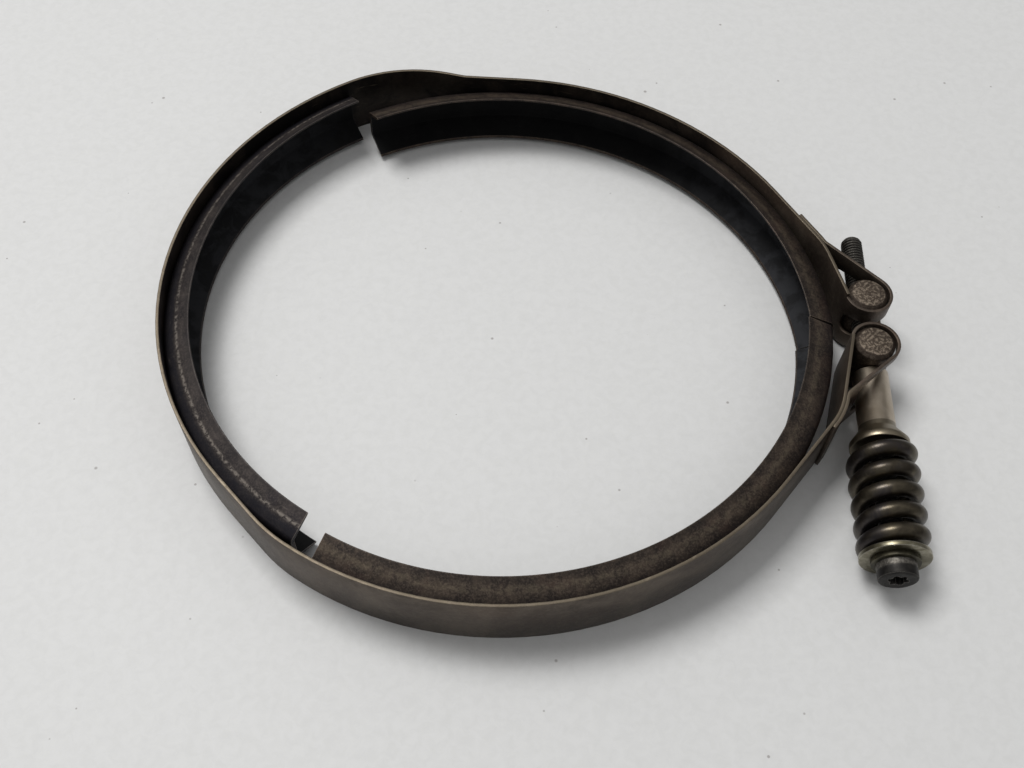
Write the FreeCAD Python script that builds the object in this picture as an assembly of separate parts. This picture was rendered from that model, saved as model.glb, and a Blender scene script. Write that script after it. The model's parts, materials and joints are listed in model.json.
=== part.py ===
"""V band clamp with a spring-loaded trunnion bolt, modelled in millimetres.

One strip of spring steel makes the ring.  Three V section retainers are spot-welded
inside it, and both of its ends are folded round a trunnion and welded back.  A low-head
bolt runs through the plain trunnion into the threaded one, and its head pulls on them
through two washers, a compression spring and a flanged spacer.

Frame: +Z is the clamp's axis, Z = 0 is its mid-plane, the origin is the clamp's centre,
and the bolt lies on the +X side with its head towards -Y.
"""
import FreeCAD
import Part

import math
import os

from FreeCAD import Vector

# ---- band ----
BAND_WIDTH = 25.4
BAND_SHEET = 1.1
LAP_GAP = 0.1            # between the strip and its folded-back end, held by the welds
LAP_LENGTH = 14.8        # from the free end to where the leg turns off
WELD_DIAMETER = 4.5
NECK_STEP = 1.5          # how far each edge is notched in round a trunnion

# ---- retainers ----
LIP_RADIUS = 111.0       # inner edge of the lips, from each retainer's own centre
RETAINER_DEPTH = 10.3
RETAINER_SHEET = 1.6
CHANNEL_MOUTH = 22.4     # across the two lips
CHANNEL_BASE = 12.4      # across the flat that lies on the band
CHANNEL_BEND = 2.4       # outer radius of the two bends
CHANNEL_BEND_FACETS = 2
SEAM_GAP = 0.3           # front retainer to rear retainer, at the lips

# The clamp has sprung out of round, so each retainer keeps its own centre.
FRONT_SHIFT_X = 0.3
FRONT_SHIFT_Y = 2.0
LEFT_SHIFT_X = -1.0
LEFT_SHIFT_Y = 6.0
REAR_SHIFT_X = 0.6
REAR_SHIFT_Y = -8.0
FRONT_START = -118.0     # angles about the retainer's own centre, degrees
FRONT_END = -3.7
LEFT_START = 122.8
LEFT_END = 239.0
REAR_END = 118.6

# ---- the band's bends away from the retainers, all as outer-face radii ----
KNEE_RADIUS = 30.0       # where each end leaves the ring for its trunnion
REAR_KNEE_LIFT = 3.7
REAR_KNEE_ANGLE = 14.9
FRONT_KNEE_LIFT = 4.4
FRONT_KNEE_ANGLE = -20.9
FOOT_RADIUS = 10.0       # hollow bend just past the rear retainer's free end
FOOT_LIFT = 1.8
FOOT_ANGLE = 97.5
CROWN_RADIUS = 54.0      # round shoulder over the step between rear and left retainers
CROWN_ANGLE = 122.0
STEP_RADIUS = 60.0       # easing between the left and front retainers
STEP_ANGLE = -122.0
LEG_BEND_RADIUS = 4.0    # where a folded-back end lands on the band
REAR_LANDING_ANGLE = 25.3    # that landing, about the centre of the knee
FRONT_LANDING_ANGLE = -13.7

# ---- trunnions ----
TRUNNION_DIAMETER = 14.4
TRUNNION_CHAMFER = 1.3
TRUNNION_PLAY = 0.5      # between a trunnion and its loop
TRUNNION_STANDOFF = 12.0     # mid-point of the two trunnions, past the band's outer face
TRUNNION_RISE = -4.65    # the same mid-point along Y
TRUNNION_PITCH = 21.9
BOLT_LEAN = 2.1          # bolt's angle from Y, degrees

# ---- bolt and what it carries ----
BOLT_DIAMETER = 8.0
BOLT_LENGTH = 137.5
BOLT_TIP_CHAMFER = 1.0
HEAD_DIAMETER = 13.0
HEAD_HEIGHT = 5.6
HEAD_CHAMFER = 0.7
SOCKET_WIDTH = 6.7       # across opposite lobes
SOCKET_DEPTH = 3.2
THREAD_PLAY = 0.08       # radial, bolt to threaded trunnion
BORE_PLAY = 0.3          # radial, bolt to the pieces that it passes through
SPACER_DIAMETER = 12.8
SPACER_LENGTH = 30.6
SPACER_FLANGE = 20.4
SPACER_FLANGE_THICKNESS = 2.0
SPACER_CONE = 5.2
SEAT_GAP = 0.1           # flat end of the spacer to the round trunnion
SLOT_PLAY = 0.5          # slot edge to the bolt, at the threaded trunnion
SPACER_SLOT_PLAY = 1.8   # slot edge to the spacer, at the plain trunnion
SLOT_CORNER = 3.0
SLOT_END = 6.0           # solid strip left between a slot and the leg's bend
SLOT_START = 1.5         # solid strip left between a slot and the inner leg
SPRING_DIAMETER = 24.6
SPRING_WIRE = 5.8
SPRING_LENGTH = 39.9     # as held in the clamp
SPRING_PITCH = 7.75
SPRING_END_PITCH = 5.0   # over the closed ends
SPRING_COIL_GAP = 0.15   # between the closed end coils
SPRING_FIRST_RISE = 1.0  # wire centre above the seat at the ground tip
SPRING_START_TURNS = 0.3     # closed stretch at the seat, in turns
SPRING_START_ANGLE = 252.0
SPRING_STEPS = 18        # facets in each turn
SPRING_SIDES = 12        # facets round the wire
LARGE_WASHER = 23.2
LARGE_WASHER_THICKNESS = 1.6
SMALL_WASHER = 16.0
SMALL_WASHER_THICKNESS = 1.6

# ---- worked out from the above ----
FRONT_CENTRE = (FRONT_SHIFT_X, FRONT_SHIFT_Y)
LEFT_CENTRE = (LEFT_SHIFT_X, LEFT_SHIFT_Y)
REAR_CENTRE = (REAR_SHIFT_X, REAR_SHIFT_Y)
BASE_RADIUS = LIP_RADIUS + RETAINER_DEPTH
BAND_OUTER = BASE_RADIUS + BAND_SHEET
HALF_SHEET = BAND_SHEET / 2.0
HALF_WIDTH = BAND_WIDTH / 2.0
NECK_HALF = HALF_WIDTH - NECK_STEP
LOOP_INNER = TRUNNION_DIAMETER / 2.0 + TRUNNION_PLAY
BOLT_SLOT = BOLT_DIAMETER + 2.0 * SLOT_PLAY
SPACER_SLOT = SPACER_DIAMETER + 2.0 * SPACER_SLOT_PLAY


def polar(centre, radius, degrees):
    """Return the point at a radius and an angle from a centre, as (x, y)."""
    turn = math.radians(degrees)
    return (centre[0] + radius * math.cos(turn), centre[1] + radius * math.sin(turn))


def lean_offset(distance):
    """Return the step along the bolt towards its tip, as (x, y)."""
    turn = math.radians(BOLT_LEAN)
    return (distance * math.sin(turn), distance * math.cos(turn))


def trunnion_centre(side):
    """Return the centre of the threaded (side 1) or plain (side -1) trunnion."""
    step = lean_offset(side * TRUNNION_PITCH / 2.0)
    return (BAND_OUTER + TRUNNION_STANDOFF + step[0], TRUNNION_RISE + step[1])


# ---- paths of lines and arcs ----
# A bend is (centre, radius of the path, sense): sense 1 turns left and -1 turns right.
# A path goes straight from each bend to the next one, touching both.


def tangent(first, second):
    """Return the straight run from one bend to the next, as two points and a normal."""
    centre_1, radius_1, sense_1 = first
    centre_2, radius_2, sense_2 = second
    gap_x = centre_2[0] - centre_1[0]
    gap_y = centre_2[1] - centre_1[1]
    gap = math.hypot(gap_x, gap_y)
    share = (sense_2 * radius_2 - sense_1 * radius_1) / gap
    if abs(share) > 1.0 - 1e-9:
        share = math.copysign(1.0, share)
    angle = math.atan2(gap_y, gap_x) + math.acos(share)
    normal = (math.cos(angle), math.sin(angle))
    start = (centre_1[0] - sense_1 * radius_1 * normal[0],
             centre_1[1] - sense_1 * radius_1 * normal[1])
    end = (centre_2[0] - sense_2 * radius_2 * normal[0],
           centre_2[1] - sense_2 * radius_2 * normal[1])
    return start, end, normal


def belt(bends):
    """Return the path through a list of bends as ("line" or "arc", ...) pieces."""
    runs = [tangent(first, second) for first, second in zip(bends, bends[1:])]
    pieces = []
    for index, run in enumerate(runs):
        pieces.append(("line",) + run)
        if index + 1 < len(runs):
            centre, radius, sense = bends[index + 1]
            angle_in = math.atan2(-sense * run[2][1], -sense * run[2][0])
            normal_out = runs[index + 1][2]
            angle_out = math.atan2(-sense * normal_out[1], -sense * normal_out[0])
            sweep = (sense * (angle_out - angle_in)) % (2.0 * math.pi)
            pieces.append(("arc", centre, radius, sense, angle_in, sweep))
    return pieces


def offset_edge(piece, shift, height):
    """Return one path piece moved to its left by a shift, as an edge at a height."""
    if piece[0] == "line":
        start, end, normal = piece[1:]
        points = [Vector(point[0] + shift * normal[0], point[1] + shift * normal[1], height)
                  for point in (start, end)]
        if points[0].distanceToPoint(points[1]) < 1e-6:
            return None
        return Part.makeLine(points[0], points[1])
    centre, radius, sense, angle_in, sweep = piece[1:]
    if sweep < 1e-6:
        return None
    reach = radius - sense * shift
    turns = [angle_in + sense * sweep * share for share in (0.0, 0.5, 1.0)]
    points = [Vector(centre[0] + reach * math.cos(turn), centre[1] + reach * math.sin(turn), height)
              for turn in turns]
    return Part.Arc(points[0], points[1], points[2]).toShape()


def strip(pieces, half_thickness, low, high):
    """Return the solid strip that follows a path, between two heights."""
    left = [offset_edge(piece, half_thickness, low) for piece in pieces]
    right = [offset_edge(piece, -half_thickness, low) for piece in pieces]
    left = [edge for edge in left if edge is not None]
    right = [edge for edge in right if edge is not None]
    caps = [Part.makeLine(left[0].firstVertex(True).Point, right[0].firstVertex(True).Point),
            Part.makeLine(left[-1].lastVertex(True).Point, right[-1].lastVertex(True).Point)]
    wire = Part.Wire(Part.__sortEdges__(left + right + caps))
    return Part.Face(wire).extrude(Vector(0, 0, high - low))


# ---- band ----


def ring_bends():
    """Return the bends of the strip from the rear knee round to the front knee."""
    ring = BAND_OUTER - HALF_SHEET
    knee = KNEE_RADIUS - HALF_SHEET
    rear_knee = polar(REAR_CENTRE, BAND_OUTER + REAR_KNEE_LIFT - KNEE_RADIUS, REAR_KNEE_ANGLE)
    front_knee = polar(FRONT_CENTRE, BAND_OUTER + FRONT_KNEE_LIFT - KNEE_RADIUS, FRONT_KNEE_ANGLE)
    foot = polar(REAR_CENTRE, BAND_OUTER + FOOT_LIFT + FOOT_RADIUS, FOOT_ANGLE)
    crown = polar(LEFT_CENTRE, BAND_OUTER - CROWN_RADIUS, CROWN_ANGLE)
    step = polar(FRONT_CENTRE, BAND_OUTER - STEP_RADIUS, STEP_ANGLE)
    return [(rear_knee, knee, 1),
            (REAR_CENTRE, ring, 1),
            (foot, FOOT_RADIUS + HALF_SHEET, -1),
            (crown, CROWN_RADIUS - HALF_SHEET, 1),
            (LEFT_CENTRE, ring, 1),
            (step, STEP_RADIUS - HALF_SHEET, 1),
            (FRONT_CENTRE, ring, 1),
            (front_knee, knee, 1)]


def lap_point(knee, ring_bend, side, distance):
    """Return the strip's mid-line point and outward direction beside a folded-back end.

    The distance is measured along the lap from where its leg turns off: round the knee
    first, and then along the straight stretch towards the ring.
    """
    run = tangent(knee, ring_bend) if side > 0 else tangent(ring_bend, knee)
    start, end = (run[0], run[1]) if side > 0 else (run[1], run[0])
    outward = (-run[2][0], -run[2][1])
    landing = REAR_LANDING_ANGLE if side > 0 else FRONT_LANDING_ANGLE
    straight_angle = math.degrees(math.atan2(outward[1], outward[0]))
    lap_radius = knee[1] + BAND_SHEET + LAP_GAP
    round_knee = math.radians(abs(straight_angle - landing)) * lap_radius
    if distance < round_knee:
        angle = landing + side * math.degrees(distance / lap_radius)
        return polar(knee[0], knee[1], angle), polar((0.0, 0.0), 1.0, angle)
    share = (distance - round_knee) / math.dist(start, end)
    point = (start[0] + (end[0] - start[0]) * share, start[1] + (end[1] - start[1]) * share)
    return point, outward


def lap_bends(knee, ring_bend, side):
    """Return the bends of one folded-back end, from its free end to the trunnion.

    The end lies on the outside of the strip, and its leg turns off towards the
    trunnion from the outside of the knee.
    """
    lap = BAND_SHEET + LAP_GAP
    point, outward = lap_point(knee, ring_bend, side, LAP_LENGTH)
    free = (point[0] + lap * outward[0], point[1] + lap * outward[1])
    landing = REAR_LANDING_ANGLE if side > 0 else FRONT_LANDING_ANGLE
    turn_off = polar(knee[0], knee[1] + lap + LEG_BEND_RADIUS, landing)
    return [(free, 0.0, 1), (knee[0], knee[1] + lap, -side), (turn_off, LEG_BEND_RADIUS, side)]


def tapered_leg(piece):
    """Return the straight leg from the lap to the trunnion, narrowing to the neck."""
    start, end, normal = piece[1:]
    length = math.hypot(end[0] - start[0], end[1] - start[1])
    along = Vector(end[0] - start[0], end[1] - start[1], 0).normalize()
    across = Vector(normal[0], normal[1], 0)
    corner = Vector(start[0], start[1], 0) - across * HALF_SHEET
    outline = [corner + Vector(0, 0, -HALF_WIDTH),
               corner + along * length + Vector(0, 0, -NECK_HALF),
               corner + along * length + Vector(0, 0, NECK_HALF),
               corner + Vector(0, 0, HALF_WIDTH)]
    return Part.Face(Part.makePolygon(outline + outline[:1])).extrude(across * BAND_SHEET)


def trimmed(piece, start_trim, end_trim):
    """Return a straight run shortened at its ends."""
    start, end, normal = piece[1:]
    length = math.hypot(end[0] - start[0], end[1] - start[1])
    along = ((end[0] - start[0]) / length, (end[1] - start[1]) / length)
    return ("line",
            (start[0] + along[0] * start_trim, start[1] + along[1] * start_trim),
            (end[0] - along[0] * end_trim, end[1] - along[1] * end_trim),
            normal)


def slot_cutter(leg, wrap, height):
    """Return the tool for the slot that runs round a loop, with rounded corners."""
    bare_leg = trimmed(leg, SLOT_END, 0.0)
    centre, radius, sense, angle_in, sweep = wrap[1:]
    bare_wrap = ("arc", centre, radius, sense, angle_in, sweep - SLOT_START / radius)
    angle_out = math.degrees(angle_in + sense * bare_wrap[5])
    ends = [(bare_leg[1], bare_leg[3]),
            (polar(centre, radius, angle_out), polar((0.0, 0.0), 1.0, angle_out))]
    cutter = strip([bare_leg, bare_wrap], BAND_SHEET * 1.5, -height / 2.0, height / 2.0)
    corners = []
    for edge in cutter.Edges:
        points = [vertex.Point for vertex in edge.Vertexes]
        if len(points) != 2 or abs(points[0].z - points[1].z) > 1e-6:
            continue
        middle = (points[0] + points[1]) * 0.5
        way = (points[1] - points[0]).normalize()
        for spot, normal in ends:
            at_end = (middle - Vector(spot[0], spot[1], middle.z)).Length < 1e-4
            if at_end and abs(way.dot(Vector(normal[0], normal[1], 0))) > 1.0 - 1e-6:
                corners.append(edge)
    return cutter.makeFillet(SLOT_CORNER, corners)


def loop(side, knee, ring_bend, slot_height):
    """Return the loop at one end of the strip, with its lap, and the slot's tool."""
    wrap_radius = LOOP_INNER + HALF_SHEET
    bends = lap_bends(knee, ring_bend, side)
    bends += [(trunnion_centre(side), wrap_radius, -side), (knee[0], knee[1], side)]
    pieces = belt(bends)
    lap = pieces[:4]
    leg, wrap = pieces[4:6]
    full = strip(lap, HALF_SHEET, -HALF_WIDTH, HALF_WIDTH)
    neck = strip([wrap], HALF_SHEET, -NECK_HALF, NECK_HALF)
    return full.fuse([tapered_leg(leg), neck]), slot_cutter(leg, wrap, slot_height)


def lap_welds(knee, ring_bend, side):
    """Return the weld nuggets that hold a folded-back end to the strip."""
    spot, outward = lap_point(knee, ring_bend, side, LAP_LENGTH / 2.0)
    nuggets = []
    for height in (-HALF_WIDTH / 2.0, HALF_WIDTH / 2.0):
        nuggets.append(Part.makeCylinder(WELD_DIAMETER / 2.0, BAND_SHEET + LAP_GAP,
                                         Vector(spot[0], spot[1], height),
                                         Vector(outward[0], outward[1], 0)))
    return nuggets


def make_band():
    """Return the strip: ring, inner legs, loops round both trunnions and welded laps."""
    bends = ring_bends()
    wrap_radius = LOOP_INNER + HALF_SHEET
    whole = belt([(trunnion_centre(1), wrap_radius, -1)] + bends
                 + [(trunnion_centre(-1), wrap_radius, -1)])
    ring = strip(whole, HALF_SHEET, -HALF_WIDTH, HALF_WIDTH)
    rear_loop, rear_slot = loop(1, bends[0], bends[1], BOLT_SLOT)
    front_loop, front_slot = loop(-1, bends[-1], bends[-2], SPACER_SLOT)
    welds = lap_welds(bends[0], bends[1], 1) + lap_welds(bends[-1], bends[-2], -1)
    band = ring.fuse([rear_loop, front_loop] + welds)
    return band.cut([rear_slot, front_slot]).removeSplitter()


# ---- retainers ----


def side_points(pieces, shift):
    """Return the corners along one side of a path, with its bends cut into facets."""
    points = []
    for piece in pieces:
        if piece[0] == "line":
            start, end, normal = piece[1:]
            corners = [(spot[0] + shift * normal[0], spot[1] + shift * normal[1])
                       for spot in (start, end)]
        else:
            centre, radius, sense, angle_in, sweep = piece[1:]
            shares = [index / CHANNEL_BEND_FACETS for index in range(1, CHANNEL_BEND_FACETS)]
            corners = [polar(centre, radius - sense * shift,
                             math.degrees(angle_in + sense * sweep * share)) for share in shares]
        points += corners
    return points


def channel_section():
    """Return the V section in the XZ plane, opening towards the clamp's axis."""
    half_sheet = RETAINER_SHEET / 2.0
    half_mouth = CHANNEL_MOUTH / 2.0
    half_base = CHANNEL_BASE / 2.0
    slope = math.atan2(half_mouth - half_base, RETAINER_DEPTH)
    inset = CHANNEL_BEND * math.tan((math.pi / 2.0 - slope) / 2.0)
    bend_x = BASE_RADIUS - CHANNEL_BEND
    bend_z = half_base - inset
    tip_x = LIP_RADIUS + half_sheet * math.sin(slope)
    tip_z = half_mouth - half_sheet * math.cos(slope)
    pieces = belt([((tip_x, -tip_z), 0.0, 1),
                   ((bend_x, -bend_z), CHANNEL_BEND - half_sheet, 1),
                   ((bend_x, bend_z), CHANNEL_BEND - half_sheet, 1),
                   ((tip_x, tip_z), 0.0, 1)])
    corners = side_points(pieces, half_sheet) + side_points(pieces, -half_sheet)[::-1]
    points = [Vector(corner[0], 0, corner[1]) for corner in corners]
    return Part.Face(Part.makePolygon(points + points[:1]))


def make_retainer(centre, start, end):
    """Return one retainer: the V section turned about its own centre."""
    section = channel_section()
    section.rotate(Vector(0, 0, 0), Vector(0, 0, 1), start)
    body = section.revolve(Vector(0, 0, 0), Vector(0, 0, 1), end - start)
    body.translate(Vector(centre[0], centre[1], 0))
    return body


def rear_start():
    """Return the rear retainer's first angle, a seam gap past the front one's lips."""
    lip = polar(FRONT_CENTRE, LIP_RADIUS, FRONT_END)
    angle = math.degrees(math.atan2(lip[1] - REAR_CENTRE[1], lip[0] - REAR_CENTRE[0]))
    return angle + math.degrees(SEAM_GAP / LIP_RADIUS)


# ---- pieces on the bolt's axis ----


def on_bolt(shape):
    """Move a piece modelled along X, from the plain trunnion's centre, onto the bolt."""
    placed = shape.copy()
    placed.rotate(Vector(0, 0, 0), Vector(0, 0, 1), -90.0 - BOLT_LEAN)
    centre = trunnion_centre(-1)
    placed.translate(Vector(centre[0], centre[1], 0))
    return placed


def turned(profile):
    """Return the solid turned from (distance along the bolt, radius) points."""
    points = [Vector(along, radius, 0) for along, radius in profile]
    face = Part.Face(Part.makePolygon(points + points[:1]))
    return face.revolve(Vector(0, 0, 0), Vector(1, 0, 0), 360)


def spacer_start():
    """Return where the spacer begins, just off the plain trunnion."""
    return TRUNNION_DIAMETER / 2.0 + SEAT_GAP


def spring_seat():
    """Return where the spring begins, on the spacer's flange."""
    return spacer_start() + SPACER_LENGTH


def large_washer_start():
    """Return where the large washer begins, on the spring's outer end."""
    return spring_seat() + SPRING_LENGTH


def small_washer_start():
    """Return where the small washer begins."""
    return large_washer_start() + LARGE_WASHER_THICKNESS


def head_start():
    """Return where the bolt head bears on the small washer."""
    return small_washer_start() + SMALL_WASHER_THICKNESS


def make_trunnion(side, bore_radius):
    """Return a barrel with chamfered ends and a cross bore for the bolt."""
    radius = TRUNNION_DIAMETER / 2.0
    barrel = Part.makeCylinder(radius, 2.0 * NECK_HALF, Vector(0, 0, -NECK_HALF))
    rims = [edge for edge in barrel.Edges
            if isinstance(edge.Curve, Part.Circle)]
    barrel = barrel.makeChamfer(TRUNNION_CHAMFER, rims)
    bore = Part.makeCylinder(bore_radius, 4.0 * radius, Vector(-2.0 * radius, 0, 0), Vector(1, 0, 0))
    piece = barrel.cut(bore)
    piece.rotate(Vector(0, 0, 0), Vector(0, 0, 1), 90.0 - BOLT_LEAN)
    centre = trunnion_centre(side)
    piece.translate(Vector(centre[0], centre[1], 0))
    return piece


def make_spacer():
    """Return the flanged spacer: plain sleeve, cone and spring flange."""
    bore = BOLT_DIAMETER / 2.0 + BORE_PLAY
    start = spacer_start()
    end = spring_seat()
    rim = end - SPACER_FLANGE_THICKNESS
    profile = [(start, bore),
               (start, SPACER_DIAMETER / 2.0),
               (rim - SPACER_CONE, SPACER_DIAMETER / 2.0),
               (rim, SPACER_FLANGE / 2.0),
               (end, SPACER_FLANGE / 2.0),
               (end, bore)]
    return on_bolt(turned(profile))


def spring_end_turns():
    """Return how far the closed end at the washers runs, so that its coils just clear."""
    return (SPRING_PITCH - SPRING_WIRE - SPRING_COIL_GAP) / (SPRING_PITCH - SPRING_END_PITCH)


def spring_turns():
    """Return the number of turns that fills the spring's length."""
    closed = SPRING_START_TURNS + spring_end_turns()
    rise = SPRING_LENGTH - 2.0 * SPRING_FIRST_RISE - closed * SPRING_END_PITCH
    return closed + rise / SPRING_PITCH


def spring_rise(turn):
    """Return the wire's distance from the seat after a number of turns."""
    first = min(turn, SPRING_START_TURNS)
    last = max(0.0, turn - (spring_turns() - spring_end_turns()))
    open_turns = turn - first - last
    return SPRING_FIRST_RISE + SPRING_END_PITCH * (first + last) + SPRING_PITCH * open_turns


def spring_point(turn):
    """Return the middle of the wire after a number of turns, with the axis along X."""
    mean = (SPRING_DIAMETER - SPRING_WIRE) / 2.0
    spot = polar((0.0, 0.0), mean, SPRING_START_ANGLE + 360.0 * turn)
    return Vector(spring_rise(turn), spot[0], spot[1])


def spring_ring(turn):
    """Return the corners round the wire after a number of turns, ground at both ends."""
    middle = spring_point(turn)
    along = (spring_point(turn + 0.01) - spring_point(turn - 0.01)).normalize()
    outward = Vector(0, middle.y, middle.z).normalize()
    across = along.cross(outward).normalize()
    corners = []
    for index in range(SPRING_SIDES):
        spot = polar((0.0, 0.0), SPRING_WIRE / 2.0, 360.0 * (index + 0.5) / SPRING_SIDES)
        corner = middle + outward * spot[0] + across * spot[1]
        corner.x = min(max(corner.x, 0.0), SPRING_LENGTH)
        corners.append(corner)
    return corners


def make_spring():
    """Return the compression spring, faceted, with closed ends ground flat."""
    steps = int(math.ceil(spring_turns() * SPRING_STEPS))
    corners = []
    for step in range(steps + 1):
        corners += spring_ring(spring_turns() * step / steps)
    sides = SPRING_SIDES
    triangles = []
    for step in range(steps):
        for side in range(sides):
            a = step * sides + side
            b = step * sides + (side + 1) % sides
            triangles += [(a, b, b + sides), (a, b + sides, a + sides)]
    last = steps * sides
    for side in range(1, sides - 1):
        triangles += [(0, side + 1, side), (last, last + side, last + side + 1)]
    shell = Part.Shape()
    shell.makeShapeFromMesh((corners, triangles), 1e-4)
    body = Part.Solid(shell)
    if body.Volume < 0:
        body.reverse()
    body.translate(Vector(spring_seat(), 0, 0))
    return on_bolt(body)


def make_washer(start, thickness, diameter):
    """Return a flat washer on the bolt."""
    bore = BOLT_DIAMETER / 2.0 + BORE_PLAY
    profile = [(start, bore),
               (start, diameter / 2.0),
               (start + thickness, diameter / 2.0),
               (start + thickness, bore)]
    return on_bolt(turned(profile))


def six_lobe_socket(start):
    """Return the tool for the six-lobe drive recess, ending in a shallow cone."""
    lobe = SOCKET_WIDTH * 0.13
    reach = SOCKET_WIDTH / 2.0 - lobe
    core = Part.makeCylinder(reach - lobe * 0.25, SOCKET_DEPTH, Vector(start, 0, 0), Vector(1, 0, 0))
    lobes = []
    for index in range(6):
        spot = polar((0.0, 0.0), reach, 60.0 * index)
        lobes.append(Part.makeCylinder(lobe, SOCKET_DEPTH, Vector(start, spot[0], spot[1]), Vector(1, 0, 0)))
    return core.fuse(lobes).removeSplitter()


def make_bolt():
    """Return the low-head bolt with its drive recess; its thread is left plain."""
    radius = BOLT_DIAMETER / 2.0
    head = head_start()
    face = head + HEAD_HEIGHT
    tip = head - BOLT_LENGTH
    profile = [(tip, 0.0),
               (tip, radius - BOLT_TIP_CHAMFER),
               (tip + BOLT_TIP_CHAMFER, radius),
               (head, radius),
               (head, HEAD_DIAMETER / 2.0),
               (face - HEAD_CHAMFER, HEAD_DIAMETER / 2.0),
               (face, HEAD_DIAMETER / 2.0 - HEAD_CHAMFER),
               (face, 0.0)]
    return on_bolt(turned(profile).cut(six_lobe_socket(face - SOCKET_DEPTH)))


def build():
    """Return every piece of the clamp by name."""
    bore = BOLT_DIAMETER / 2.0
    return {
        "band": make_band(),
        "retainer_front": make_retainer(FRONT_CENTRE, FRONT_START, FRONT_END),
        "retainer_left": make_retainer(LEFT_CENTRE, LEFT_START, LEFT_END),
        "retainer_rear": make_retainer(REAR_CENTRE, rear_start(), REAR_END),
        "trunnion_threaded": make_trunnion(1, bore + THREAD_PLAY),
        "trunnion_plain": make_trunnion(-1, bore + BORE_PLAY),
        "spring_spacer": make_spacer(),
        "spring": make_spring(),
        "large_washer": make_washer(large_washer_start(), LARGE_WASHER_THICKNESS, LARGE_WASHER),
        "small_washer": make_washer(small_washer_start(), SMALL_WASHER_THICKNESS, SMALL_WASHER),
        "bolt": make_bolt(),
    }


os.makedirs("parts", exist_ok=True)
for name, shape in build().items():
    print(name, "solids", len(shape.Solids), "valid", shape.isValid(), "volume", round(shape.Volume, 1))
    shape.exportStep("parts/" + name + ".step")
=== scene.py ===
"""Looks of a spring-loaded V band clamp, laid over its solids.

Every length is in metres and in the part's own frame: +Z is the clamp's axis, Z = 0 is
its mid-plane, and the bolt lies on the +X side with its head towards -Y.
"""

import json
import logging
import math
from dataclasses import dataclass, field
from enum import Enum
from typing import Any, Mapping, Sequence, Union

import bpy
from mathutils import Matrix, Vector

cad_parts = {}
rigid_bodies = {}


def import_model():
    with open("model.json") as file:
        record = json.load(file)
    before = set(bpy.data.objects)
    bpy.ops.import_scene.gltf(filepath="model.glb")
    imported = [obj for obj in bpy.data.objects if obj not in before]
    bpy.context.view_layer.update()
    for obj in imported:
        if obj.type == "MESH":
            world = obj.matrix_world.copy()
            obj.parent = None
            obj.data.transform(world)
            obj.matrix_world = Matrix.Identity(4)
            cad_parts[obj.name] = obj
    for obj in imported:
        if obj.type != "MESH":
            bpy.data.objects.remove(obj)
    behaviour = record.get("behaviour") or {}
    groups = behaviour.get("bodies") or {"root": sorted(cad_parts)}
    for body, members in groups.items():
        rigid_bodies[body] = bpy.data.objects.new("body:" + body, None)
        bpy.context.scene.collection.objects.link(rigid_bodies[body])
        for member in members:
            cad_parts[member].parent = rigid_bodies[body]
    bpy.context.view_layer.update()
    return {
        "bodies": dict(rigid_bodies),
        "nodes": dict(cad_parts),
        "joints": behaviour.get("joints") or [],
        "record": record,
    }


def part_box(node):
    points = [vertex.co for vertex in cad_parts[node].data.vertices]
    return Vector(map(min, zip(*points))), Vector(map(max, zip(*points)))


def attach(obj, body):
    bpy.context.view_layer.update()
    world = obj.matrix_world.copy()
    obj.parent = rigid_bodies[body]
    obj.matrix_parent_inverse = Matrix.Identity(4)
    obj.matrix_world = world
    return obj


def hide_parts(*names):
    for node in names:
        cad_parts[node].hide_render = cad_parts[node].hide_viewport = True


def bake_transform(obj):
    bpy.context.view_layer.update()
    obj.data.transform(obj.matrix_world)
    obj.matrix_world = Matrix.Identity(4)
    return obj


LOG = logging.getLogger("clamp")
MM = 0.001
UP = Vector((0.0, 0.0, 1.0))
Socket = bpy.types.NodeSocket
Colour = tuple[float, float, float]
Feed = Union[Socket, float, Colour]


# ---------------------------------------------------------------- shader graphs


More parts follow.
